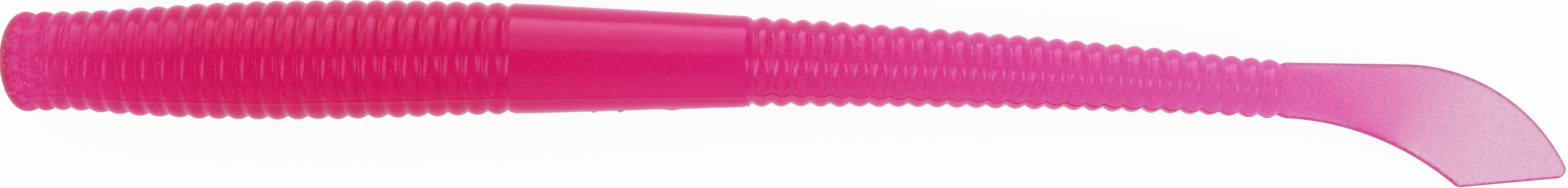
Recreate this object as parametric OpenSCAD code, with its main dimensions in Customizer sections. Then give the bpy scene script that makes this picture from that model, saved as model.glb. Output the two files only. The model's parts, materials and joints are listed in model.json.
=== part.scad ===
// Ringed soft plastic worm with a flat, cut tail, lying on a level surface.
// X runs from the nose to the tail, Z is up, and the origin is on the surface under the
// middle of the worm's box. Lengths are millimetres and angles are degrees.
// The worm is one soft casting. Cup and dome cuts in its grooves part it into pieces that
// turn on each other, which is how the soft body bends, and each piece is a solid of its own.

/* [Nose] */
// Length from the tip to the first groove
nose_len = 2.62; // [2.3:0.02:4]
// Length of the rounded end, from the tip to its widest point
nose_dome = 1.8; // [1:0.05:1.9]
// Diameter of the nose at its widest point
nose_d = 7.45; // [6:0.05:8.8]

/* [Front rings] */
// Rings between the nose and the collar
front_rings = 24; // [16:1:30]
// Length of a full ring along the worm
front_pitch = 1.6; // [1.3:0.01:2]
// Length of the ring behind the nose, which is the shortest one
first_pitch = 1.33; // [1.1:0.01:1.6]
// Rings over which the length grows from the shortest to the full one
pitch_ramp = 3; // [1:1:6]
// Diameter over the fattest ring
belly_d = 9.56; // [9:0.02:12]
// The fattest ring, counted from the nose
belly_ring = 14; // [8:1:15]
// How full the barrel of the front is: more keeps it fat for longer
belly_fullness = 1.8; // [1.5:0.1:3]

/* [Collar] */
// Length of the smooth band from groove to groove
collar_len = 19.65; // [8:0.05:30]
// Diameter at the front end
collar_front_d = 8.92; // [8:0.02:9]
// Diameter at the rear end
collar_rear_d = 7.3; // [6.5:0.05:8]

/* [Rear rings] */
// Rings between the collar and the tail
rear_rings = 27; // [15:1:31]
// Length of a ring along the worm
rear_pitch = 1.58; // [1.3:0.01:2]
// Diameter over the last ring
rear_end_d = 4.66; // [4.4:0.02:6]

/* [Ring form] */
// Height of a ring above the floor of its grooves
ring_depth = 0.29; // [0.22:0.01:0.4]
// Width of a groove's floor
groove_floor = 0.15; // [0.1:0.01:0.3]

/* [Tail] */
// Distance from the axis to the upper edge at the root
tail_upper = 2.2; // [2:0.05:3]
// Fall of the straight upper edge
tail_upper_slope = 0.7; // [0:0.1:4]
// Length of the straight upper edge
tail_straight = 10.7; // [7:0.05:14]
// Radius of the upper edge beyond the straight
tail_upper_r = 14.86; // [12:0.02:20]
// Distance from the axis to the lower edge at the root
tail_lower = 2.3; // [2:0.05:3]
// Fall of the lower edge at the root
tail_lower_slope = 1.3; // [0:0.1:5]
// Radius of the hollow lower edge
tail_lower_r = 24.1; // [20:0.1:40]
// How far the line of the end cut passes below the axis at the root
tail_cut_drop = 9.39; // [7.5:0.01:11]
// Slope of the end cut
tail_cut_angle = 5.2; // [0:0.1:12]
// Radius of the two corners at the end cut
tail_corner_r = 0.75; // [0.3:0.05:1.5]
// Thickness at the root
tail_root_t = 4.4; // [3.6:0.05:4.6]
// Thickness of the thin end
tail_tip_t = 0.9; // [0.5:0.05:1.5]
// Length over which the tail thins down
tail_taper = 19; // [12:0.1:26]
// Distance from the root to the line on which the flat tail lifts
tail_hinge = 5; // [4:0.1:8]
// Widening of the round root on each side for each unit of length
wrist_flare = 0.5; // [0.3:0.05:0.8]

/* [Lie] */
// Length of the stretch behind the tip that curves a little
head_len = 12.6; // [8:0.1:18]
// How far that stretch turns
head_turn = 4.4; // [0.4:0.1:10]
// Length of the straight stretch behind it
straight_len = 19.7; // [10:0.1:30]
// Heading of the straight stretch, towards +Y
front_heading = 0.6; // [-2:0.1:4]
// Heading of the tail's root, towards -Y
tail_heading = 4.6; // [3:0.1:15]
// Height of the rings above the surface that the flat tail lies on
ground_gap = 0.02; // [0:0.01:0.1]

/* [Cuts] */
// Length of a dome
dome_len = 0.6; // [0.4:0.05:0.8]
// Gap between a dome and its cup
cut_gap = 0.18; // [0.16:0.01:0.24]
// How far a cup's rim stands above the groove's floor
rim_rise = 0.14; // [0.1:0.01:0.16]
// How far each front cut turns to either side
front_bend = 5; // [2:0.5:6]
// How far each rear cut turns to either side
rear_bend = 6.5; // [2:0.5:7]

/* [Hidden] */
$fn = 72;
// Rings that one piece carries
piece_rings = 2;
// The head and the tail's wrist carry what is left over
front_pieces = floor((front_rings - piece_rings) / piece_rings);
head_rings = front_rings - piece_rings * front_pieces;
rear_pieces = floor((rear_rings - 1) / piece_rings);
wrist_rings = rear_rings - piece_rings * rear_pieces;
// Chords in a drawn arc, and in the curve of the tail's thickness
arc_steps = 12;
corner_steps = 5;
taper_steps = 14;
// Overlap of solids that join, and the reach of a cutting shape past the solid that it cuts
lap = 0.4;
past = 1;
// Rise of the tail's round root above the last groove's floor
wrist_rise = 0.03;
// Colours from the thick front to the thin tail
front_colour = [0.80, 0.11, 0.38];
rear_colour = [0.86, 0.34, 0.62];
tail_colour = [0.88, 0.64, 0.78];

// Stations are lengths along the worm from the tip of the nose.
function ring_pitch(i) =
    front_pitch - (front_pitch - first_pitch) * max(0, 1 - i / pitch_ramp);
function front_groove(k) = k == 0 ? nose_len : front_groove(k - 1) + ring_pitch(k - 1);
collar_at = front_groove(front_rings);
rear_at = collar_at + collar_len;
function rear_groove(k) = rear_at + k * rear_pitch;
tail_at = rear_groove(rear_rings);
belly_at = (front_groove(belly_ring - 1) + front_groove(belly_ring)) / 2;

// Radius over the rings: a barrel in front, then two straight tapers
function barrel(end_d, end_at, s) =
    belly_d / 2
    - (belly_d - end_d) / 2 * pow((s - belly_at) / (end_at - belly_at), belly_fullness);
function straight(d0, d1, s0, s1, s) = (d0 + (d1 - d0) * (s - s0) / (s1 - s0)) / 2;
function crest(s) =
    s <= nose_len ? nose_d / 2
    : s < belly_at ? barrel(nose_d, nose_len, s)
    : s < collar_at ? barrel(collar_front_d, collar_at, s)
    : s < rear_at ? straight(collar_front_d, collar_rear_d, collar_at, rear_at, s)
    : straight(collar_rear_d, rear_end_d, rear_at, tail_at, s);
function floor_r(s) = crest(s) - ring_depth;

// The axis is an arc behind the nose, then straight, then one wide arc to the tail.
bend_at = head_len + straight_len;
function arc_xy(s, h0, h1, span) =
    let (h = h0 + (h1 - h0) * s / span, turn = (h1 - h0) / span * PI / 180)
    [sin(h) - sin(h0), cos(h0) - cos(h)] / turn;
function within(s, span) = max(0, min(s, span));
function path_xy(s) =
    arc_xy(within(s, head_len), front_heading - head_turn, front_heading, head_len)
    + within(s - head_len, straight_len) * [cos(front_heading), sin(front_heading)]
    + arc_xy(max(0, s - bend_at), front_heading, -tail_heading, tail_at - bend_at);

// Outline of the tail, from the axis at its root, with X and Y as for the whole worm
cut_dir = [cos(tail_cut_angle), sin(tail_cut_angle)];
cut_line = [0, -tail_cut_drop] + tail_corner_r * [-cut_dir.y, cut_dir.x];
upper_c = [0, tail_upper]
    + tail_straight * [cos(tail_upper_slope), -sin(tail_upper_slope)]
    - tail_upper_r * [sin(tail_upper_slope), cos(tail_upper_slope)];
lower_c = [0, -tail_lower] - tail_lower_r * [sin(tail_lower_slope), cos(tail_lower_slope)];
function cut_crossing(c, r) =
    let (w = cut_line - c, m = w * cut_dir)
    cut_line + cut_dir * (sqrt(m * m - w * w + r * r) - m);
tip_c = cut_crossing(upper_c, tail_upper_r - tail_corner_r);
corner_c = cut_crossing(lower_c, tail_lower_r + tail_corner_r);
function angle_of(v) = atan2(v.y, v.x);
function arc(c, r, a, b, steps, first = 0) =
    [for (i = [first:steps]) let (t = a + (b - a) * i / steps) c + r * [cos(t), sin(t)]];
lower_angle = angle_of(corner_c - lower_c);
upper_angle = angle_of(tip_c - upper_c);
cut_angle = tail_cut_angle - 90;
tail_outline = concat(
    [[-lap, tail_upper], [-lap, -tail_lower]],
    arc(lower_c, tail_lower_r, 90 - tail_lower_slope, lower_angle, arc_steps),
    arc(corner_c, tail_corner_r, lower_angle - 180, cut_angle, corner_steps, 1),
    arc(tip_c, tail_corner_r, cut_angle, upper_angle, corner_steps),
    arc(upper_c, tail_upper_r, upper_angle, 90 - tail_upper_slope, arc_steps, 1)
);
tail_reach = tip_c.x + tail_corner_r;
tail_depth = tail_corner_r - corner_c.y;

// Thickness of the tail at a distance from its root, and the line on which it lifts
function tail_t(x) =
    tail_tip_t + (tail_root_t - tail_tip_t) * pow(max(0, 1 - max(0, x) / tail_taper), 2);
hinge_z = tail_t(tail_hinge) / 2;

// Places in the part's own frame
ring_tops = [
    for (k = [1:front_rings])
        let (s = (front_groove(k - 1) + front_groove(k)) / 2) path_xy(s).y + crest(s)
];
tail_xy = path_xy(tail_at);
middle = [tail_xy.x + tail_reach, tail_xy.y - tail_depth + max(ring_tops)] / 2;
function axis_at(s) =
    let (p = path_xy(s) - middle) [p.x, p.y, crest(s) + ground_gap];
tail_place = [tail_xy.x - middle.x, tail_xy.y - middle.y, 0];

// Colour at a station
function mix(a, b, t) = a + (b - a) * min(1, max(0, t));
function skin(s) = mix(front_colour, rear_colour, (s - collar_at) / (tail_at - collar_at));

// Radii of a cut at a station
function cup_r(s) = floor_r(s) + rim_rise;
function dome_r(s) = cup_r(s) - cut_gap;
function cut_bend(s) = s < rear_at ? front_bend : rear_bend;
function cup_len(s) = dome_len + dome_r(s) * sin(cut_bend(s)) + cut_gap;

// Half profiles have the radius as X and the distance from the piece's first station as Y.
// A ring between two grooves is an arc that stands on the groove floors.
function ring_half(a, b) = (b - a - groove_floor) / 2;
function bulge_r(half) = (half * half + ring_depth * ring_depth) / (2 * ring_depth);

module ring_profile(a, b, first) {
    r = bulge_r(ring_half(a, b));
    mid = (a + b) / 2;
    translate([crest(mid) - r, mid - first])
        circle(r);
}

module rings_profile(grooves) {
    first = grooves[0];
    last = grooves[len(grooves) - 1];
    polygon(concat(
        [[0, 0]],
        [for (s = grooves) [floor_r(s), s - first]],
        [[0, last - first]]
    ));
    for (i = [1:len(grooves) - 1])
        ring_profile(grooves[i - 1], grooves[i], first);
}

// Dome that the piece turns on, before its first station
module dome_profile(s) {
    intersection() {
        circle(dome_r(s));
        translate([0, -dome_len])
            square([dome_r(s) + past, dome_len + lap]);
    }
}

// Cup for the next piece's dome, in the end of the piece
module cup_profile(s, first) {
    intersection() {
        translate([0, s - first])
            circle(cup_r(s));
        translate([0, s - first - cup_len(s)])
            square([cup_r(s) + past, cup_len(s) + past]);
    }
}

// Turns a half profile about the axis between two stations.
module along(a, b) {
    start = axis_at(a);
    d = axis_at(b) - start;
    translate(start)
        rotate([0, acos(d.z / norm(d)), angle_of(d)])
            rotate_extrude()
                children();
}

// Shoulder of a smooth stretch, as points from the crest line down to the groove or back up
function shoulder(mid_y, half, r, a, b) =
    let (bulge = bulge_r(half), slope = asin(half / bulge))
    arc([r - bulge, mid_y], bulge, slope * a, slope * b, corner_steps);

// Nose and the rings that follow it
module head() {
    nose_r = nose_d / 2;
    half = nose_len - nose_dome - groove_floor / 2;
    dome = [for (i = [0:arc_steps - 1])
        let (t = 90 * i / arc_steps) [nose_r * sin(t), nose_dome * (1 - cos(t))]];
    end = front_groove(head_rings);
    color(front_colour)
        along(0, end)
            difference() {
                union() {
                    polygon(concat(
                        dome,
                        shoulder(nose_dome, half, nose_r, 0, 1),
                        [[floor_r(nose_len), nose_len + lap], [0, nose_len + lap]]
                    ));
                    translate([0, nose_len])
                        rings_profile([for (k = [0:head_rings]) front_groove(k)]);
                }
                cup_profile(end, 0);
            }
}

// A piece of the ringed body, with a dome in front and a cup behind
module ringed_piece(grooves) {
    first = grooves[0];
    last = grooves[len(grooves) - 1];
    color(skin(first))
        along(first, last)
            difference() {
                union() {
                    rings_profile(grooves);
                    dome_profile(first);
                }
                cup_profile(last, first);
            }
}

module front_rings(i) {
    first = head_rings + piece_rings * (i - 1);
    ringed_piece([for (k = [first:first + piece_rings]) front_groove(k)]);
}

module rear_rings(i) {
    first = piece_rings * (i - 1);
    ringed_piece([for (k = [first:first + piece_rings]) rear_groove(k)]);
}

// Smooth band with a rounded shoulder at each end
module collar() {
    front_half = ring_half(0, front_pitch);
    rear_half = ring_half(0, rear_pitch);
    front_y = front_pitch / 2;
    rear_y = collar_len - rear_pitch / 2;
    color(skin((collar_at + rear_at) / 2))
        along(collar_at, rear_at)
            difference() {
                union() {
                    polygon(concat(
                        [[0, 0], [floor_r(collar_at), 0]],
                        shoulder(front_y, front_half, crest(collar_at + front_y), -1, 0),
                        shoulder(rear_y, rear_half, crest(collar_at + rear_y), 0, 1),
                        [[floor_r(rear_at), collar_len], [0, collar_len]]
                    ));
                    dome_profile(collar_at);
                }
                cup_profile(rear_at, collar_at);
            }
}

// Plan of the tail, raised past its full thickness
module tail_plan() {
    linear_extrude(tail_root_t + past)
        polygon(tail_outline);
}

// Side view of the tail between two distances from its root, anticlockwise
function tail_side(x0, x1) = concat(
    [[x0, 0], [x1, 0]],
    [for (i = [0:taper_steps]) let (x = x1 + (x0 - x1) * i / taper_steps) [x, tail_t(x)]]
);

// Turns a side view into a solid across the whole tail.
module across_tail() {
    rotate([90, 0, 0])
        linear_extrude(2 * (tail_depth + tail_upper), center = true)
            children();
}

// Round root that widens until the flat tail is inside it
module wrist_cone(first) {
    end = tail_at - first;
    rim = floor_r(tail_at) + wrist_rise;
    reach = tail_hinge + past;
    polygon([
        [0, end - lap],
        [rim - lap * wrist_flare, end - lap],
        [rim + reach * wrist_flare, end + reach],
        [0, end + reach]
    ]);
}

// The last rings, and the root that changes from round to flat
module tail_wrist() {
    first = rear_groove(rear_rings - wrist_rings);
    color(rear_colour) {
        along(first, tail_at) {
            rings_profile([for (k = [rear_rings - wrist_rings:rear_rings]) rear_groove(k)]);
            dome_profile(first);
        }
        intersection() {
            translate(tail_place) {
                intersection() {
                    tail_plan();
                    across_tail()
                        difference() {
                            polygon(tail_side(-lap, tail_hinge));
                            translate([tail_hinge, hinge_z])
                                circle(hinge_z + cut_gap);
                        }
                }
            }
            along(first, tail_at)
                wrist_cone(first);
        }
    }
}

// The flat tail, with a rounded edge that turns in the wrist
module tail_blade() {
    color(tail_colour)
        translate(tail_place)
            intersection() {
                tail_plan();
                across_tail() {
                    polygon(concat(
                        tail_side(tail_hinge, tail_reach + past),
                        [[tail_hinge - lap, hinge_z]]
                    ));
                    intersection() {
                        translate([tail_hinge, hinge_z])
                            circle(hinge_z);
                        translate([tail_hinge - 2 * hinge_z, -hinge_z])
                            square([2 * hinge_z, 4 * hinge_z]);
                    }
                }
            }
}

head();
for (i = [1:front_pieces])
    front_rings(i);
collar();
for (i = [1:rear_pieces])
    rear_rings(i);
tail_wrist();
tail_blade();
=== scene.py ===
"""Looks of a ringed soft plastic worm with a flat, cut tail, lying on a white table.

The worm is one soft casting, so its skin runs on across the hinges of the frame. It is made of closed
pieces that meet in the grooves between the rings.
Lengths are millimetres until a mesh is made. Stations are lengths along the worm from the nose's tip.
"""

import json
import math

import bpy
import numpy as np
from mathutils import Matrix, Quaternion, Vector

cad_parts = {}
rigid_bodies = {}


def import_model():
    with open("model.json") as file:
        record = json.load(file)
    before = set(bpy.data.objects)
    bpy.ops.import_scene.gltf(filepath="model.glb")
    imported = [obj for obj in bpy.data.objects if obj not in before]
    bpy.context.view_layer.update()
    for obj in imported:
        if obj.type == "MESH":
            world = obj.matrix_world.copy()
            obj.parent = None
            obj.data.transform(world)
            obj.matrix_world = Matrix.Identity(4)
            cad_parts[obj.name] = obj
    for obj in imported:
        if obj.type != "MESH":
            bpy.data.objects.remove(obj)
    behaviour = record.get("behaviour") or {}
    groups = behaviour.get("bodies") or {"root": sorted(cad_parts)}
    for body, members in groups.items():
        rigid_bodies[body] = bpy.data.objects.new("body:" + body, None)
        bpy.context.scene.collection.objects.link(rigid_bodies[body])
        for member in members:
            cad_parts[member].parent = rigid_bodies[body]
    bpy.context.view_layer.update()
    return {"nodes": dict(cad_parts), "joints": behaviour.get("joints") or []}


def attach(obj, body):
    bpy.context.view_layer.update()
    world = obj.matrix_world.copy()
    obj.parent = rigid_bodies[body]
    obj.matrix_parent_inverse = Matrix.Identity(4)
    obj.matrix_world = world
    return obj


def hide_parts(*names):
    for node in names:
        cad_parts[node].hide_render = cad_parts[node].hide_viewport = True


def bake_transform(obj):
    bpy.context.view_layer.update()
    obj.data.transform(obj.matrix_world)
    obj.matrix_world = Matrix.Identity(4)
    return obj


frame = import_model()
MM = 0.001
SEED = 11
TINY = 1e-6  # keeps a division from running into zero
FAR = 4.4  # any distance at which no seam shadow and no rim shade is painted
STATION_DIGITS = 9  # stations that agree to so many decimals are one

# Ringed body
UPRIGHT = 0.5  # a hinge whose axis has a larger share along +Z bends the body
NOSE_LEN = 2.62  # tip to the first groove
NOSE_DOME = 1.8  # tip to the widest point of the nose
NOSE_FIRST_LOOP = 0.05  # angle on the dome between its tip and its first loop
RING_DEPTH = 0.29  # height of a ring above the groove floors
GROOVE_FLOOR = 0.1
SHOULDER = 0.8  # length over which a smooth stretch rises out of a groove
GROUND_GAP = 0.02  # rings above the table
FRONT_WAVE, REAR_WAVE = 0.05, 0.18  # 0 is round rings with sharp grooves, 1 an even wave
RING_UNEVENNESS = 0.05  # share of the ring depth
SWELLINGS = 6  # slow waves in the skin, the first with one swell round the worm, the next with two
SWELLING_HEIGHT = 0.004
SWELLING_PACE = (0.3, 2.5)  # least and most radians for a millimetre along the worm
GROOVE_PAINTED_GLOW = 0.3  # share of a groove's depth by which the plastic is taken as thinner, which paints the grooves paler: painted light
NOSE_PAINTED_GLOW = 0.18  # share by which the nose is painted paler: painted light that enters at the nose
NOSE_PAINTED_GLOW_START = 1.2
NOSE_PAINTED_GLOW_LEN = 7

# Parting line of the mould, as its angle above the side of the worm, which falls towards the tail
SEAM_STATIONS = (0, 42, 62, 77, 92.6, 99.5, 102.8)
SEAM_ANGLES = (42, 42, 39.5, 33, 25.5, 20, 0)
SEAM_SPREAD = (1, 1, 1, 1.2, 1.6, 2, 2)  # how much wider the painted shadow line is
SEAM_WIDTH = 0.06
SEAM_HEIGHT = 0.04

# Flash left on the side of the collar: distance from its front groove, length and height
FLASH_TAGS = ((6.9, 0.3, 0.1), (9.0, 0.4, 0.16), (13.2, 1.0, 0.1), (19.4, 0.2, 0.12))
FLASH_HALF_ANGLE = math.radians(5)

# Flat tail, measured from the axis at its root
TAIL_UPPER = 2.2
TAIL_UPPER_SLOPE = math.radians(0.7)
TAIL_STRAIGHT = 10.7
TAIL_UPPER_R = 14.86
TAIL_LOWER = 2.3
TAIL_LOWER_SLOPE = math.radians(1.3)
TAIL_LOWER_R = 24.1
TAIL_CUT_DROP = 9.39
TAIL_CUT_ANGLE = math.radians(5.2)
TAIL_CORNER_R = 0.75
TAIL_ROOT_T = 4.4
TAIL_TIP_T = 0.9
TAIL_TAPER = 19
TAIL_FLATTENS = 8  # length over which the round root turns into a plate
TAIL_EDGE_R = 0.4  # rounding of the plate's edge
TAIL_EDGE_LOOK = 0.5  # share of the plate's thickness that its edge looks to have
TAIL_DYE_SWAY = 1.8  # how far the dye leads or trails at the tail's two edges
TAIL_RIM_FADE = 0.1  # how much further from the upper edge the round root is taken to be, which narrows the painted rim shade there

# Patches along the tail's edges where the colour is deeper or paler: distance from the root, length,
# width, and the change of the thickness that the colour shows
UPPER_EDGE_PATCHES = ((9.5, 3.5, 0.8, -0.4),)
LOWER_EDGE_PATCHES = ((8.0, 1.6, 0.25, 3.0), (11.0, 1.8, 0.8, -0.5))

# Mesh density
COLUMNS = 128
COLUMN_CLUSTER = 0.9  # how much closer the columns are at the parting line
RING_STEPS = 14
NOSE_STEPS = 14
COLLAR_STEPS = 60
TAIL_STEPS = 220
TAIL_CROWDING = 0.35  # how much closer the loops are at the tail's tip
ARC_STEPS = 60


def smoothstep(t):
    t = np.clip(t, 0, 1)
    return t * t * (3 - 2 * t)


# The axis comes from the frame: the nose's tip, the hinges in the grooves, and the tail's root one
# ring behind the last hinge. The rings lie on the table, so the axis is as high as they are thick.

def foremost_point(node):
    corners = [v.co for v in frame["nodes"][node].data.vertices]
    return np.array(min(corners, key=lambda corner: corner.x)) / MM


HINGES = sorted(
    (joint for joint in frame["joints"] if joint["axis"][2] > UPRIGHT),
    key=lambda joint: joint["pos_m"][0],
)
HINGE_POINTS = np.array([joint["pos_m"] for joint in HINGES]) / MM
TAIL_ROOT = HINGE_POINTS[-1] + (HINGE_POINTS[-1] - HINGE_POINTS[-2]) / 2
AXIS = np.vstack([foremost_point("head"), HINGE_POINTS, TAIL_ROOT])
AXIS_STEPS = np.diff(AXIS[:, :2], axis=0)
AXIS_STATIONS = np.concatenate([[0], np.cumsum(np.hypot(*AXIS_STEPS.T))])
HINGE_STATIONS = AXIS_STATIONS[1:-1]
TAIL_AT = AXIS_STATIONS[-1]
COLLAR_FRONT = [joint["name"] for joint in HINGES].index("front_bend")
COLLAR_REAR = COLLAR_FRONT + 1
COLLAR_AT = HINGE_STATIONS[COLLAR_FRONT]
REAR_AT = HINGE_STATIONS[COLLAR_REAR]
HEADING_STATIONS = (AXIS_STATIONS[1:] + AXIS_STATIONS[:-1]) / 2
HEADINGS = np.arctan2(AXIS_STEPS[:, 1], AXIS_STEPS[:, 0])


def with_middles(stations):
    """The stations, and the one halfway between each two."""
    middles = (stations[1:] + stations[:-1]) / 2
    return np.sort(np.concatenate([stations, middles]))


FRONT_GROOVES = with_middles(np.concatenate([[NOSE_LEN], HINGE_STATIONS[:COLLAR_REAR]]))
REAR_GROOVES = np.append(with_middles(HINGE_STATIONS[COLLAR_REAR:]), TAIL_AT)
RINGS = [*zip(FRONT_GROOVES, FRONT_GROOVES[1:]), *zip(REAR_GROOVES, REAR_GROOVES[1:])]
RING_STRENGTH = 1 + RING_UNEVENNESS * np.random.default_rng(SEED).uniform(-1, 1, len(RINGS))


def axis_points(stations):
    """Points of the axis, as rows."""
    return np.stack([np.interp(stations, AXIS_STATIONS, AXIS[:, i]) for i in range(3)], axis=-1)


def arch(t):
    """0 at the ends and 1 in the middle, along a parabola."""
    t = np.clip(t, 0, 1)
    return 4 * t * (1 - t)


def shoulder(distance):
    """Rise of a smooth stretch out of a groove: 0 on the groove's floor and 1 beyond the shoulder."""
    rise = (distance - GROOVE_FLOOR / 2) / (SHOULDER - GROOVE_FLOOR / 2)
    return arch(np.clip(rise, 0, 1) / 2)


def ring_swell(stations):
    """0 on the groove floors, about 1 on the crests, and 1 on the smooth collar."""
    to_groove = np.minimum(np.abs(stations - COLLAR_AT), np.abs(stations - REAR_AT))
    swell = np.where(stations < NOSE_LEN, shoulder(NOSE_LEN - stations), shoulder(to_groove))
    for (start, end), strength in zip(RINGS, RING_STRENGTH):
        inside = (stations >= start) & (stations <= end)
        t = (stations[inside] - start - GROOVE_FLOOR / 2) / (end - start - GROOVE_FLOOR)
        wave = FRONT_WAVE if start < COLLAR_AT else REAR_WAVE
        even = np.sin(np.pi * np.clip(t, 0, 1)) ** 2
        swell[inside] = strength * ((1 - wave) * arch(t) + wave * even)
    return swell


def crest_radius(stations):
    """Radius of the rings' crests, which lie on the table."""
    return axis_points(stations)[..., 2] - GROUND_GAP


def body_radius(stations):
    crest = crest_radius(stations)
    radius = crest - RING_DEPTH * (1 - ring_swell(stations))
    dome = np.sqrt(np.clip(1 - (1 - stations / NOSE_DOME) ** 2, 0, 1))
    return np.where(stations < NOSE_DOME, crest * dome, radius)


def column_angles():
    """Angles of the mesh's columns round the worm, from the parting line, close together near it."""
    turn = np.arange(COLUMNS) / COLUMNS
    return 2 * np.pi * (turn - COLUMN_CLUSTER * np.sin(4 * np.pi * turn) / (4 * np.pi))


ANGLES = column_angles()
FROM_SEAM = (ANGLES + np.pi / 2) % np.pi - np.pi / 2


def seam_angle(stations):
    """Angle of the parting line, counted from +Y over +Z. Along the front rings it runs straight."""
    rise = np.radians(np.interp(stations, SEAM_STATIONS, SEAM_ANGLES))
    radius = np.maximum(body_radius(stations), crest_radius(stations) - RING_DEPTH)
    straight = np.arccos(np.cos(rise) * (crest_radius(stations) - RING_DEPTH / 2) / radius)
    return np.pi - np.where(stations < COLLAR_AT, straight, rise)


def unevenness(stations, angles):
    """A soft casting's slow swellings, as a few waves along and round it."""
    rng = np.random.default_rng(SEED)
    height = np.zeros(np.broadcast(stations, angles).shape)
    for swells in range(1, SWELLINGS + 1):
        pace = rng.uniform(*SWELLING_PACE)
        phase = rng.uniform(0, 2 * np.pi)
        height += SWELLING_HEIGHT * np.sin(stations * pace + angles * swells + phase)
    return height


def flash(stations, angles):
    """Height of the flash tags on the collar's side."""
    height = np.zeros(np.broadcast(stations, angles).shape)
    off_side = (angles + 2 * np.pi) % (2 * np.pi) - np.pi
    for distance, length, tall in FLASH_TAGS:
        along = (stations - COLLAR_AT - distance) / (length / 2)
        height += tall * np.exp(-along ** 4 - (off_side / FLASH_HALF_ANGLE) ** 2)
    return height


def body_loops(stations):
    """Loops of points round the body, and the traits that the materials read from them."""
    s = stations[:, None]
    angles = seam_angle(stations)[:, None] + ANGLES
    radius = body_radius(stations)[:, None] * np.ones_like(angles)
    swell = ring_swell(stations)[:, None] * np.ones_like(angles)
    # The grooves and the nose are taken as thinner than they are, which paints them paler: painted light.
    look = crest_radius(stations)[:, None] - GROOVE_PAINTED_GLOW * RING_DEPTH * (1 - swell)
    near_nose = smoothstep(s / NOSE_PAINTED_GLOW_START) * np.exp(-s / NOSE_PAINTED_GLOW_LEN)
    seam = FROM_SEAM * radius
    traits = {
        "thickness": 2 * look * (1 - NOSE_PAINTED_GLOW * near_nose),
        "from_nose": s * np.ones_like(angles),
        "groove": 1 - swell,
        "seam": seam / np.interp(s, SEAM_STATIONS, SEAM_SPREAD),
        "upper_edge": np.full_like(angles, FAR),
        "lower_edge": np.full_like(angles, FAR),
    }
    full = np.minimum(1, radius / NOSE_DOME)
    radius = radius + full * unevenness(s, angles) + flash(s, angles)
    radius = radius + full * SEAM_HEIGHT * np.exp(-((seam / SEAM_WIDTH) ** 2))
    heading = np.interp(stations, HEADING_STATIONS, HEADINGS)[:, None]
    across = radius * np.cos(angles)
    offset = (-np.sin(heading) * across, np.cos(heading) * across, radius * np.sin(angles))
    return axis_points(stations)[:, None, :] + np.stack(offset, axis=-1), traits


def arc(centre, radius, start, end):
    """Points of an arc, as rows, between two angles."""
    angles = np.linspace(start, end, ARC_STEPS)
    return centre + radius * np.stack([np.cos(angles), np.sin(angles)], axis=-1)


def angle_of(vector):
    return math.atan2(vector[1], vector[0])


def tail_edges():
    """The tail's upper and lower edge from its root to its furthest point, as rows of points."""
    along_cut = np.array([math.cos(TAIL_CUT_ANGLE), math.sin(TAIL_CUT_ANGLE)])
    over_cut = np.array([0, -TAIL_CUT_DROP]) + TAIL_CORNER_R * np.array([-along_cut[1], along_cut[0]])
    fall = np.array([math.sin(TAIL_UPPER_SLOPE), math.cos(TAIL_UPPER_SLOPE)])
    upper_centre = np.array([0, TAIL_UPPER]) - TAIL_UPPER_R * fall
    upper_centre = upper_centre + TAIL_STRAIGHT * np.array([fall[1], -fall[0]])
    lower_tilt = np.array([math.sin(TAIL_LOWER_SLOPE), math.cos(TAIL_LOWER_SLOPE)])
    lower_centre = np.array([0, -TAIL_LOWER]) - TAIL_LOWER_R * lower_tilt

    def crossing(centre, radius):
        """Where the line at a corner's radius above the cut leaves a circle."""
        w = over_cut - centre
        m = w @ along_cut
        return over_cut + along_cut * (math.sqrt(m * m - w @ w + radius * radius) - m)

    tip = crossing(upper_centre, TAIL_UPPER_R - TAIL_CORNER_R)
    corner = crossing(lower_centre, TAIL_LOWER_R + TAIL_CORNER_R)
    upper_angle = angle_of(tip - upper_centre)
    lower_angle = angle_of(corner - lower_centre)
    cut_angle = TAIL_CUT_ANGLE - math.pi / 2
    upper = np.vstack([
        [[0, TAIL_UPPER]],
        arc(upper_centre, TAIL_UPPER_R, math.pi / 2 - TAIL_UPPER_SLOPE, upper_angle),
        arc(tip, TAIL_CORNER_R, upper_angle, 0),
    ])
    lower = np.vstack([
        arc(lower_centre, TAIL_LOWER_R, math.pi / 2 - TAIL_LOWER_SLOPE, lower_angle),
        arc(corner, TAIL_CORNER_R, lower_angle - math.pi, cut_angle),
        arc(tip, TAIL_CORNER_R, cut_angle, 0),
    ])
    return upper, lower


def distance_to_line(points, line):
    """Distance of each point from a line of many points, in two dimensions."""
    starts = line[:-1]
    steps = np.diff(line, axis=0)
    squares = np.maximum((steps ** 2).sum(axis=1), TINY ** 2)
    nearest = np.full(points.shape[:-1], np.inf)
    for start, step, square in zip(starts, steps, squares):
        t = np.clip(((points - start) @ step) / square, 0, 1)
        gap = points - start - t[..., None] * step
        nearest = np.minimum(nearest, np.hypot(gap[..., 0], gap[..., 1]))
    return nearest


def tail_thickness(x):
    taper = np.maximum(0, 1 - x / TAIL_TAPER)
    return TAIL_TIP_T + (TAIL_ROOT_T - TAIL_TIP_T) * taper ** 2


def tail_steps(reach):
    """Distances of the tail's loops from its root, with one loop in the groove itself."""
    run = np.linspace(0, 1, TAIL_STEPS)
    run = (1 - TAIL_CROWDING) * run + TAIL_CROWDING * (1 - (1 - run) ** 2)
    return np.concatenate([[0], GROOVE_FLOOR / 2 + (reach - GROOVE_FLOOR) * run])


def tail_look(x, angles, bulge, upper_gap, lower_gap):
    """The thickness that the tail's colour shows, with the dye's uneven run and deeper or paler patches
    at its edges.
    """
    sway = TAIL_DYE_SWAY * np.sin(2 * np.pi * np.minimum(x / TAIL_TAPER, 1))[:, None] * np.cos(angles)
    look = tail_thickness(x[:, None] + sway) * np.maximum(bulge, TAIL_EDGE_LOOK)
    for gap, edge_patches in ((upper_gap, UPPER_EDGE_PATCHES), (lower_gap, LOWER_EDGE_PATCHES)):
        for place, length, width, change in edge_patches:
            along = np.exp(-((x - place) / length) ** 2)[:, None]
            look = look + change * along * np.exp(-gap / width)
    return np.maximum(look, TAIL_TIP_T)


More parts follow.
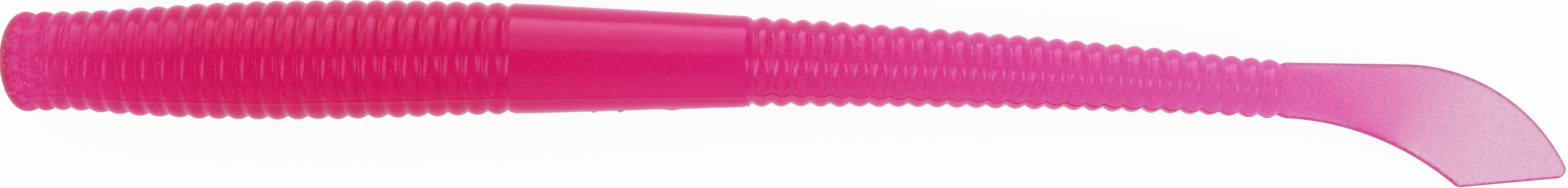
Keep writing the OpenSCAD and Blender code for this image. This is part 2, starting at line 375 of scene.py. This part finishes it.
def tail_loops():
    """Loops of points round the tail, from the last groove to the tip, and their traits."""
    upper, lower = tail_edges()
    x = tail_steps(upper[-1, 0])
    angles = seam_angle(np.array([TAIL_AT])) + ANGLES
    top = np.interp(x, upper[:, 0], upper[:, 1])[:, None]
    bottom = np.interp(x, lower[:, 0], lower[:, 1])[:, None]
    half_width = (top - bottom) / 2
    y = (top + bottom) / 2 + half_width * np.cos(angles)
    plan = np.stack([x[:, None] * np.ones_like(y), y], axis=-1)
    upper_gap = distance_to_line(plan, upper)
    lower_gap = distance_to_line(plan, lower)
    edge = np.minimum(upper_gap, lower_gap)
    flat = smoothstep(x / TAIL_FLATTENS)[:, None]
    rounding = half_width + (np.minimum(TAIL_EDGE_R, half_width) - half_width) * flat
    bulge = np.sqrt(np.clip(1 - (1 - np.minimum(edge / np.maximum(rounding, TINY), 1)) ** 2, 0, 1))
    z = tail_thickness(x)[:, None] / 2 * (1 + np.sign(np.sin(angles)) * bulge)
    section = np.concatenate([plan + TAIL_ROOT[:2], z[..., None]], axis=-1)
    start, start_traits = body_loops(np.array([TAIL_AT]))
    groove_loop = start + np.stack([x, 0 * x, 0 * x], axis=-1)[:, None, :]
    rise = shoulder(x)[:, None]
    look = tail_look(x, angles, bulge, upper_gap, lower_gap)
    traits = {
        "thickness": start_traits["thickness"] + (look - start_traits["thickness"]) * rise,
        "from_nose": np.full_like(y, TAIL_AT),
        "groove": (1 - rise) * np.ones_like(y),
        "seam": np.full_like(y, FAR),
        "upper_edge": upper_gap + TAIL_RIM_FADE * (1 - flat),
        "lower_edge": lower_gap,
    }
    return groove_loop + (section - groove_loop) * rise[..., None], traits


def keep_crisp(mesh, loops):
    """Marks these loops of points as sharp, so that a cap doesn't bend the shading of its skin."""
    edges = np.array([edge.vertices[:] for edge in mesh.edges])
    sharp = np.any([np.isin(edges, loop).all(axis=1) for loop in loops], axis=0)
    mesh.edges.foreach_set("use_edge_sharp", sharp)


def make_piece(name, points, traits, material, round_start=False):
    """A closed mesh from loops of points, with a flat cap at each end, that carries the traits."""
    loops, columns = points.shape[:2]
    index = np.arange(loops * columns).reshape(loops, columns)
    after = np.roll(index, -1, axis=1)
    sides = np.stack([index[:-1], after[:-1], after[1:], index[1:]], axis=-1).reshape(-1, 4)
    first_middle = loops * columns
    last_middle = first_middle + 1
    start_cap = [(first_middle, b, a) for a, b in zip(index[0], after[0])]
    end_cap = [(last_middle, a, b) for a, b in zip(index[-1], after[-1])]
    middles = np.stack([points[0].mean(axis=0), points[-1].mean(axis=0)])
    corners = np.vstack([points.reshape(-1, 3), middles])
    mesh = bpy.data.meshes.new(name)
    mesh.from_pydata((corners * MM).tolist(), [], [*sides.tolist(), *start_cap, *end_cap])
    mesh.polygons.foreach_set("use_smooth", np.ones(len(mesh.polygons), bool))
    keep_crisp(mesh, [index[-1]] if round_start else [index[0], index[-1]])
    for trait, values in traits.items():
        ends = [values[0].mean(), values[-1].mean()]
        attribute = mesh.attributes.new(trait, "FLOAT", "POINT")
        attribute.data.foreach_set("value", np.append(values.ravel(), ends).astype(np.float32))
    place = mesh.attributes.new("place", "FLOAT_VECTOR", "POINT")
    place.data.foreach_set("vector", corners.astype(np.float32).ravel())
    mesh.materials.append(material)
    piece = bpy.data.objects.new(name, mesh)
    bpy.context.scene.collection.objects.link(piece)
    return piece


def merged(*rows):
    """The stations of several rows as one row, each once."""
    return np.unique(np.concatenate(rows).round(STATION_DIGITS))


def ring_stations(start, end):
    """Stations of the loops from one groove to the next, with a narrow strip on each groove's floor."""
    inner = np.linspace(start + GROOVE_FLOOR / 2, end - GROOVE_FLOOR / 2, RING_STEPS)
    return np.concatenate([[start], inner, [end]])


def metres(point):
    return tuple(float(c) * MM for c in point)


def bodies_along(hinge):
    """The bodies before and after a hinge, from the nose to the tail."""
    pair = (hinge["parent"], hinge["child"])
    return pair if hinge["name"].startswith("rear") else pair[::-1]


def bend_piece(hinge, grooves, material):
    """The skin between the first and the last of these grooves, across the hinge."""
    before, after = bodies_along(hinge)
    rows = (ring_stations(start, end) for start, end in zip(grooves, grooves[1:]))
    points, traits = body_loops(merged(*rows))
    piece = make_piece(f"skin_{before}_to_{after}", points, traits, material)
    start, end = axis_points(np.array([grooves[0], grooves[-1]]))
    end[2] = start[2]
    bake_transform(piece)
    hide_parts(before, after)


def make_nose(material):
    """The domed nose and the first ring behind it."""
    lift = np.linspace(NOSE_FIRST_LOOP, np.pi / 2, NOSE_STEPS)
    dome = NOSE_DOME * (1 - np.cos(lift))
    stations = merged(
        dome,
        ring_stations(NOSE_DOME, NOSE_LEN),
        ring_stations(FRONT_GROOVES[0], FRONT_GROOVES[1]),
    )
    points, traits = body_loops(stations)
    nose = make_piece("skin_nose", points, traits, material, round_start=True)
    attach(nose, "head")
    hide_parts("head")


def make_collar(material):
    """The smooth collar, from the middle of its front groove to the middle of its rear groove."""
    stations = merged(
        ring_stations(COLLAR_AT, COLLAR_AT + SHOULDER),
        np.linspace(COLLAR_AT + SHOULDER, REAR_AT - SHOULDER, COLLAR_STEPS),
        ring_stations(REAR_AT - SHOULDER, REAR_AT),
    )
    points, traits = body_loops(stations)
    collar = make_piece("skin_collar", points, traits, material)
    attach(collar, "collar")
    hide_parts("collar")


def make_rings(front_material, rear_material):
    """A piece of skin at each hinge, from the groove before it to the groove after it.

    At the collar's two hinges the piece ends in the hinge's own groove, where the collar begins.
    """
    front = FRONT_GROOVES[1:]
    for i, hinge in enumerate(HINGES[:COLLAR_REAR]):
        bend_piece(hinge, front[2 * i:2 * i + 3], front_material)
    for i, hinge in enumerate(HINGES[COLLAR_REAR:]):
        grooves = REAR_GROOVES[max(0, 2 * i - 1):2 * i + 2]
        bend_piece(hinge, grooves, rear_material)


def make_tail(material):
    """The flat tail, from the last groove to its tip."""
    points, traits = tail_loops()
    tail = make_piece("skin_tail", points, traits, material)
    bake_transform(tail)
    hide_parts("tail_wrist", "tail_blade")


# Materials

def colour(red, green, blue):
    """A shader colour from the 0 to 255 numbers that a screen shows."""
    shares = [c / 255 for c in (red, green, blue)]
    linear = [c / 12.92 if c <= 0.04045 else ((c + 0.055) / 1.055) ** 2.4 for c in shares]
    return (*linear, 1)


# The dye looks crimson through a thick body, magenta through a slim one and pale pink through the tail.
# That colour is partly the dye's own depth and partly painted light that passes through the plastic.
DYE_AND_PAINTED_LIGHT_BY_THICKNESS = (
    (0.9, colour(226, 178, 205)),
    (1.7, colour(225, 127, 183)),
    (3.0, colour(224, 97, 171)),
    (4.7, colour(223, 86, 165)),
    (6.0, colour(221, 57, 144)),
    (7.4, colour(216, 20, 110)),
    (9.2, colour(211, 4, 86)),
)
THICKEST = 10
# Painted shadow along the parting line, and the painted highlight of the lip below it.
SEAM_SHADOW_COLOUR = colour(206, 12, 88)
LIP_HIGHLIGHT_COLOUR = colour(226, 96, 165)
# Painted shade at the tail's rims.
UPPER_RIM_SHADE_COLOUR = colour(198, 100, 140)
LOWER_RIM_SHADE_COLOUR = colour(204, 62, 128)
SALT_COLOUR = colour(250, 190, 225)
HAZE_COLOUR = colour(252, 222, 238)
TIP_COLOUR = colour(192, 6, 68)
FROST_COLOUR = colour(238, 160, 185)
DARK_SPECK_COLOUR = colour(176, 0, 62)
# Pale patches behind the nose: partly a bloom on the skin, partly painted sheen.
BLOOM_AND_SHEEN_COLOUR = colour(224, 116, 190)
TABLE_COLOUR = (0.9, 0.9, 0.9, 1)
WHITE = (1, 1, 1, 1)
GLOSS_TINT = (0.3, 0.5, 1, 1)
SHEEN_TINT = (0.5, 0.1, 1, 1)

# Patches made by noise: their size and detail, and the noise at which they start and are full
CLOUD_PATCHES = (0.25, 3, 0.3, 0.7)
HAZE_PATCHES = (0.2, 4, 0.45, 0.7)
BLOOM_AND_SHEEN_PATCHES = (0.6, 2, 0.45, 0.65)
FROST_PATCHES = (0.3, 4, 0.5, 0.72)
SEAM_PATCHES = (2.5, 1, 0.35, 0.6)
RIM_PATCHES = (0.3, 3, 0.3, 0.7)

# Looks that change behind the nose: the stations between which they do, and their strength at each
BLOOM_AND_SHEEN_FADE = (1.5, 6, 0.3, 0)
TIP_FADE = (0.8, 2.2, 0.9, 0)
FROST_FADE = (0.2, 2.4, 0.42, 0)
HAZE_FADE = (2, 10)
NOSE_HAZE = 0.06
SALT_SIZES = (1, 8, 0.1, 0.05)  # as shares of the spacing

SALT_SPACING = 0.6
DARK_SPECK_SPACING = 1.0
DARK_SPECK_EDGE = (0.03, 0.07, 0.6, 0)  # between which shares of the spacing a dark speck fades, and its strengths
GROOVE_PAINTED_LIGHT = (0.5, 1, 1, 1.04)  # between which shares of its depth a groove is painted brighter, as painted light, and how far
SEAM_FULL, SEAM_END = 0.05, 0.15  # half widths of the painted shadow line
SEAM_FAINTEST = 0.5  # share of its strength where it is faintest
LIP_RISE, LIP_FALL = (0.1, 0.16), (0.2, 0.7)  # distances from the line over which its lip, a painted highlight, comes and goes
LIP_STRENGTH = 0.25  # share of the line's strength
RIM_RAGGEDNESS = 0.06
LOWER_RIM = (0.1, 0.28, 0.95, 0)  # distances from the edge between which a rim's painted shade fades, and its strengths
UPPER_RIM = (0.13, 0.38, 0.95, 0)
DIMPLE_SIZE, DIMPLE_DETAIL = 0.22, 3
WAVE_SIZE, WAVE_DETAIL, WAVE_HEIGHT = 0.9, 2, 0.02
BUMP_STRENGTH = 0.5
PLASTIC_IOR = 1.3
SHEEN_ROUGHNESS = 0.4
TABLE_ROUGHNESS = 0.8
TABLE_WHITENESS = 0.92  # share of plain white in what is seen of the table


class Shader:
    """A node tree that is filled from the texture side to the surface."""

    def __init__(self, name):
        self.material = bpy.data.materials.new(name)
        self.material.use_nodes = True
        self.tree = self.material.node_tree
        self.surface = self.tree.nodes["Principled BSDF"]

    def add(self, kind, settings=None, **inputs):
        """A node with these settings. An input is a value, or another node's output socket."""
        node = self.tree.nodes.new(kind)
        for key, value in (settings or {}).items():
            setattr(node, key, value)
        for key, value in inputs.items():
            self.feed(node, key.replace("_", " "), value)
        return node

    def feed(self, node, key, value):
        """Sets or links an input, by its name, or by the letter i and its number where names repeat."""
        numbered = key[0] == "i" and key[1:].isdigit()
        socket = node.inputs[int(key[1:]) if numbered else key]
        if isinstance(value, bpy.types.NodeSocket):
            self.tree.links.new(value, socket)
        else:
            socket.default_value = value

    def trait(self, name):
        """A number stored on the mesh."""
        return self.add("ShaderNodeAttribute", {"attribute_name": name}).outputs["Fac"]

    def place(self):
        """Where a point of the plastic is at rest, in millimetres."""
        return self.add("ShaderNodeAttribute", {"attribute_name": "place"}).outputs["Vector"]

    def noise(self, size, detail):
        """Soft noise with grains of this size in millimetres."""
        node = self.add("ShaderNodeTexNoise", Vector=self.place(), Scale=1 / size, Detail=detail)
        return node.outputs["Fac"]

    def cells(self, size):
        """Distance from the nearest of points scattered about this far apart, as a share of it."""
        node = self.add("ShaderNodeTexVoronoi", Vector=self.place(), Scale=1 / size)
        return node.outputs["Distance"]

    def range(self, value, low, high, to_low=0.0, to_high=1.0):
        """A value between low and high, mapped to the other two numbers and held between them."""
        node = self.add("ShaderNodeMapRange", {"clamp": True}, Value=value, From_Min=low, From_Max=high,
                        To_Min=to_low, To_Max=to_high)
        return node.outputs["Result"]

    def patches(self, kind, outside=0.0, inside=1.0):
        """Patches of a kind listed above, with a number for the inside and one for the outside."""
        size, detail, start, full = kind
        return self.range(self.noise(size, detail), start, full, outside, inside)

    def behind_nose(self, start, end, before, after):
        """A number that changes between two stations."""
        return self.range(self.trait("from_nose"), start, end, before, after)

    def math(self, operation, a, b):
        return self.add("ShaderNodeMath", {"operation": operation}, i0=a, i1=b).outputs["Value"]

    def times(self, a, b):
        return self.math("MULTIPLY", a, b)

    def mix(self, share, a, b, blend="MIX"):
        """Colour a with this share of colour b."""
        node = self.add("ShaderNodeMix", {"data_type": "RGBA", "blend_type": blend}, i0=share, i6=a, i7=b)
        return node.outputs[2]

    def scaled(self, shade, factor):
        """A colour times a number."""
        return self.mix(1.0, shade, factor, "MULTIPLY")

    def ramp(self, value, stops):
        """A colour from a row of positions and colours."""
        node = self.add("ShaderNodeValToRGB", Fac=value)
        elements = node.color_ramp.elements
        while len(elements) < len(stops):
            elements.new(0.5)
        for element, (position, shade) in zip(elements, stops):
            element.position = position
            element.color = shade
        return node.outputs["Color"]


def seam_shadow_and_highlight_paint(shader, shade, strength):
    """The mould's parting line: a thin painted shadow that comes and goes, and a painted highlight below
    it, the paler lip.
    """
    distance = shader.trait("seam")
    line = shader.times(shader.range(distance, -SEAM_END, -SEAM_FULL),
                        shader.range(distance, SEAM_FULL, SEAM_END, 1, 0))
    line_strength = shader.patches(SEAM_PATCHES, strength * SEAM_FAINTEST, strength)
    shade = shader.mix(shader.times(line, line_strength), shade, SEAM_SHADOW_COLOUR)
    lip = shader.times(shader.range(distance, *LIP_RISE),
                       shader.range(distance, *LIP_FALL, strength * LIP_STRENGTH, 0))
    return shader.mix(lip, shade, LIP_HIGHLIGHT_COLOUR)


def rim_shade_paint(shader, shade):
    """Painted shade at the rims of the flat tail, where light leaves the plate: deep pink below, brownish
    above.
    """
    ragged = shader.patches(RIM_PATCHES, -RIM_RAGGEDNESS, RIM_RAGGEDNESS)
    lower = shader.math("ADD", shader.trait("lower_edge"), ragged)
    upper = shader.math("ADD", shader.trait("upper_edge"), ragged)
    shade = shader.mix(shader.range(lower, *LOWER_RIM), shade, LOWER_RIM_SHADE_COLOUR)
    return shader.mix(shader.range(upper, *UPPER_RIM), shade, UPPER_RIM_SHADE_COLOUR)


def cloud_paint(shader, shade, mottle, haze):
    """Cloudy dye, and a milky haze that changes from the nose's share to the body's."""
    shade = shader.scaled(shade, shader.patches(CLOUD_PATCHES, 1 - mottle, 1 + mottle))
    milky = shader.times(shader.patches(HAZE_PATCHES), shader.behind_nose(*HAZE_FADE, NOSE_HAZE, haze))
    return shader.mix(milky, shade, HAZE_COLOUR)


def nose_paint(shader, shade):
    """The pale patches behind the nose, partly a bloom on the skin and partly painted sheen, its deep
    tip, and its frost.
    """
    bloom_and_sheen = shader.times(shader.patches(BLOOM_AND_SHEEN_PATCHES), shader.behind_nose(*BLOOM_AND_SHEEN_FADE))
    shade = shader.mix(bloom_and_sheen, shade, BLOOM_AND_SHEEN_COLOUR)
    shade = shader.mix(shader.behind_nose(*TIP_FADE), shade, TIP_COLOUR)
    frost = shader.times(shader.patches(FROST_PATCHES), shader.behind_nose(*FROST_FADE))
    return shader.mix(frost, shade, FROST_COLOUR)


def speck_paint(shader, shade, salt):
    """Small dark specks, and grains of salt, which are larger at the nose."""
    dark_specks = shader.range(shader.cells(DARK_SPECK_SPACING), *DARK_SPECK_EDGE)
    shade = shader.mix(dark_specks, shade, DARK_SPECK_COLOUR)
    grains = shader.math("LESS_THAN", shader.cells(SALT_SPACING), shader.behind_nose(*SALT_SIZES))
    return shader.mix(shader.times(grains, salt), shade, SALT_COLOUR)


def bumps(shader, grain):
    """Fine dimples in the skin, on slow waves."""
    dimples = shader.add("ShaderNodeBump", Strength=BUMP_STRENGTH, Distance=grain * MM,
                         Height=shader.noise(DIMPLE_SIZE, DIMPLE_DETAIL))
    waves = shader.add("ShaderNodeBump", Strength=BUMP_STRENGTH, Distance=WAVE_HEIGHT * MM,
                       Height=shader.noise(WAVE_SIZE, WAVE_DETAIL), Normal=dimples.outputs["Normal"])
    return waves.outputs["Normal"]


def plastic(name, mottle, haze, salt, seam, grain, roughness, gloss, sheen):
    """Dyed, salted soft plastic whose colour deepens with thickness, with painted light and shade; glossy
    but grainy skin.
    """
    shader = Shader(name)
    depth = shader.range(shader.trait("thickness"), 0, THICKEST)
    shade = shader.ramp(depth, [(t / THICKEST, stop_colour) for t, stop_colour in DYE_AND_PAINTED_LIGHT_BY_THICKNESS])
    # The grooves are painted a little brighter: painted light.
    shade = shader.scaled(shade, shader.range(shader.trait("groove"), *GROOVE_PAINTED_LIGHT))
    # The parting line gets a painted shadow and, below it, a painted highlight.
    shade = seam_shadow_and_highlight_paint(shader, shade, seam)
    # The tail's rims get painted shade.
    shade = rim_shade_paint(shader, shade)
    shade = cloud_paint(shader, shade, mottle, haze)
    # The nose gets pale patches that are partly painted sheen.
    shade = nose_paint(shader, shade)
    shade = speck_paint(shader, shade, salt)
    looks = {
        "Base Color": shade,
        "Roughness": shader.patches(CLOUD_PATCHES, *roughness),
        "Normal": bumps(shader, grain),
        "IOR": PLASTIC_IOR,
        "Specular IOR Level": gloss,
        "Specular Tint": GLOSS_TINT,
        "Sheen Weight": sheen,
        "Sheen Roughness": SHEEN_ROUGHNESS,
        "Sheen Tint": SHEEN_TINT,
    }
    for socket, value in looks.items():
        shader.feed(shader.surface, socket, value)
    return shader.material


def table_material():
    """A pale table that is seen as plain white, with the worm's faint shadow on it."""
    shader = Shader("white_table")
    shader.feed(shader.surface, "Base Color", TABLE_COLOUR)
    shader.feed(shader.surface, "Roughness", TABLE_ROUGHNESS)
    shader.feed(shader.surface, "Specular IOR Level", 0.0)
    rays = shader.add("ShaderNodeLightPath").outputs
    seen = rays["Is Camera Ray"]
    for kind in ("Is Transmission Ray", "Is Glossy Ray"):
        seen = shader.math("MAXIMUM", seen, rays[kind])
    white = shader.add("ShaderNodeEmission", Color=WHITE, Strength=1.0)
    both = shader.add("ShaderNodeMixShader", Fac=shader.times(seen, TABLE_WHITENESS),
                      i1=shader.surface.outputs["BSDF"], i2=white.outputs["Emission"])
    shader.feed(shader.tree.nodes["Material Output"], "Surface", both.outputs["Shader"])
    return shader.material


# Table, light and camera

TABLE_HALF = 1500
TABLE_DROP = 0.02  # table below the tail's flat underside, so that the two never share a plane
CARD_DISTANCE = 700
CAMERA_HEIGHT = 190
CAMERA_NEAR = 1
CAMERA_SENSOR = 36
IMAGE_WIDTH = 128.8  # what the camera sees of the table
IMAGE_CENTRE = (-0.70, 0.06)


def make_table():
    mesh = bpy.data.meshes.new("table")
    corners = [(-1, -1), (1, -1), (1, 1), (-1, 1)]
    places = [metres((TABLE_HALF * x, TABLE_HALF * y, -TABLE_DROP)) for x, y in corners]
    mesh.from_pydata(places, [], [(0, 1, 2, 3)])
    mesh.materials.append(table_material())
    table = bpy.data.objects.new("table", mesh)
    bpy.context.scene.collection.objects.link(table)


def add_card(name, location, rotation, width, length, radiance):
    """A bright card, in millimetres, that shows only in the worm's gloss."""
    lamp = bpy.data.lights.new(name, "AREA")
    lamp.shape = "RECTANGLE"
    lamp.size = width * MM
    lamp.size_y = length * MM
    lamp.energy = radiance * math.pi * lamp.size * lamp.size_y
    lamp_object = bpy.data.objects.new(name, lamp)
    bpy.context.scene.collection.objects.link(lamp_object)
    lamp_object.location = metres(location)
    lamp_object.rotation_euler = rotation.to_euler()
    lamp_object.visible_camera = False
    lamp_object.visible_diffuse = False


def far_card(name, azimuth, elevation, width, height, radiance, roll=0, distance=CARD_DISTANCE):
    """A card that faces the worm's middle from a distance, with all its angles in degrees.

    Azimuth 0 is beyond the nose, 90 behind the worm and 180 beyond the tail.
    """
    turn, rise = math.radians(azimuth), math.radians(elevation)
    toward = Vector((-math.cos(turn) * math.cos(rise), math.sin(turn) * math.cos(rise), math.sin(rise)))
    facing = (-toward).to_track_quat("-Z", "Y") @ Quaternion((0, 0, 1), math.radians(roll))
    sides = (2 * distance * math.tan(math.radians(angle / 2)) for angle in (width, height))
    add_card(name, distance * toward, facing, *sides, radiance)


def make_light():
    """An even white room that lights the plastic, and cards whose reflections give it its gloss."""
    world = bpy.data.worlds.new("studio")
    bpy.context.scene.world = world
    world.use_nodes = True
    background = world.node_tree.nodes["Background"]
    background.inputs["Color"].default_value = WHITE
    background.inputs["Strength"].default_value = 1.0
    world.cycles_visibility.glossy = False
    far_card("back_low", azimuth=90, elevation=10, width=50, height=20, radiance=8.6)
    far_card("back_middle", azimuth=90, elevation=30, width=50, height=21, radiance=5.4)
    far_card("back_high", azimuth=90, elevation=56, width=50, height=29, radiance=2.6)
    far_card("nose_back", azimuth=40, elevation=15, width=40, height=24, radiance=3.0)
    far_card("nose_drops", azimuth=-15, elevation=42, width=14, height=36, radiance=9.5,
             roll=38, distance=260)
    far_card("tail_drops", azimuth=192, elevation=42, width=14, height=26, radiance=9.5,
             roll=-42, distance=180)
    far_card("front_low", azimuth=-90, elevation=15, width=60, height=28, radiance=1.2)
    far_card("front_high", azimuth=-90, elevation=43, width=60, height=28, radiance=0.9)
    face_up = Quaternion((1, 0, 0), math.pi)
    add_card("back_table", (0, 36, 0.5), face_up, width=200, length=60, radiance=0.3)


def make_camera():
    """Straight above the worm, with its image width on the table as in the photograph."""
    lens = bpy.data.cameras.new("camera")
    lens.sensor_width = CAMERA_SENSOR
    lens.lens = CAMERA_SENSOR * CAMERA_HEIGHT / IMAGE_WIDTH
    lens.clip_start = CAMERA_NEAR * MM
    camera = bpy.data.objects.new("camera", lens)
    bpy.context.scene.collection.objects.link(camera)
    camera.location = metres((*IMAGE_CENTRE, CAMERA_HEIGHT))
    bpy.context.scene.camera = camera


nose_plastic = plastic("nose_plastic", mottle=0.08, haze=0.005, salt=0.6, seam=0.3, grain=0.02,
                       roughness=(0.25, 0.45), gloss=0.2, sheen=0.05)
front_plastic = plastic("front_plastic", mottle=0.04, haze=0.005, salt=0.6, seam=0.4, grain=0.02,
                        roughness=(0.14, 0.3), gloss=0.38, sheen=0.36)
collar_plastic = plastic("collar_plastic", mottle=0.04, haze=0.005, salt=0.6, seam=0.4, grain=0.02,
                         roughness=(0.12, 0.28), gloss=0.5, sheen=0.3)
rear_plastic = plastic("rear_plastic", mottle=0.05, haze=0.045, salt=0.4, seam=0.9, grain=0.01,
                       roughness=(0.1, 0.22), gloss=0.52, sheen=0.16)
tail_plastic = plastic("tail_plastic", mottle=0.08, haze=0.1, salt=0.2, seam=0, grain=0.02,
                       roughness=(0.4, 0.6), gloss=0.12, sheen=0.3)
make_nose(nose_plastic)
make_rings(front_plastic, rear_plastic)
make_collar(collar_plastic)
make_tail(tail_plastic)
make_table()
make_light()
make_camera()
bpy.context.scene.view_settings.view_transform = "Standard"
